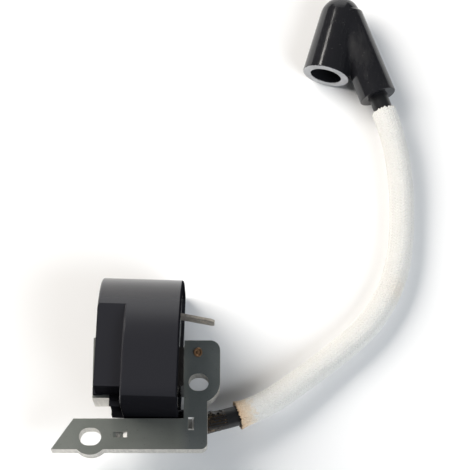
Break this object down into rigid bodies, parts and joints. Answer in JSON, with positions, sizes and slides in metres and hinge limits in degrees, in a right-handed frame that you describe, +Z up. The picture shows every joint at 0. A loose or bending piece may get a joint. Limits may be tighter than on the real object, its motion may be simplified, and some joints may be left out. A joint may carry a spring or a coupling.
{
  "type": "ignition coil",
  "caption": "Magneto ignition coil module on a laminated steel frame, with a sleeved high-tension lead and an elbow plug boot.",
  "frame": {"origin": "bottom centre of the module's own box, lead and boot left out, on the surface the case rests on", "axes": "+X along the mounting leg from its slanted tip to the column, +Y from the mounting leg across the poles to the back of the case, +Z up through the case"},
  "size_m": [0.1276, 0.1745, 0.044],
  "materials": {
    "lamination_steel": "satin, blanked sheet with a thin grey-green coating",
    "stake_copper": "worn copper",
    "tinned_strip": "dull tinned brass",
    "case_plastic": "glossy moulded black",
    "potting_resin": "cast resin, slightly uneven",
    "brass_pin": "plain",
    "bobbin_plastic": "natural nylon",
    "copper_wire": "enamelled",
    "board_laminate": "glass laminate",
    "component_body": "moulded",
    "resistor_body": "lacquered",
    "lead_rubber": "semi-gloss",
    "glass_braid": "braided glass fibre",
    "boot_rubber": "glossy",
    "spring_steel": "bright"
  },
  "bodies": {
    "module": {"core_frame": "lamination_steel", "pole_core": "lamination_steel", "ground_stake": "stake_copper", "ground_strip": "tinned_strip", "coil_case": "case_plastic", "potting_fill": "potting_resin", "ht_terminal": "brass_pin", "charge_bobbin": "bobbin_plastic", "primary_bobbin": "bobbin_plastic", "secondary_bobbin": "bobbin_plastic", "charge_winding": "copper_wire", "trigger_winding": "copper_wire", "primary_winding": "copper_wire", "secondary_winding": "copper_wire", "circuit_board": "board_laminate", "storage_capacitor": "component_body", "thyristor": "component_body", "rectifier_diodes": "component_body", "resistor": "resistor_body", "kill_terminal": "tinned_strip", "lead_root": "lead_rubber", "ht_lead": "lead_rubber", "lead_end": "lead_rubber", "lead_conductor": "copper_wire", "heat_sleeve": "glass_braid"},
    "boot": {"plug_boot": "boot_rubber", "boot_spring": "spring_steel", "contact_pin": "spring_steel"}
  },
  "joints": [
    {"name": "boot_swivel", "type": "hinge", "parent": "module", "child": "boot", "pos_m": [0.08615, 0.10391, 0.00865], "axis": [-0.343, 0.9393, 0], "range_deg": [-90, 90]}
  ]
}
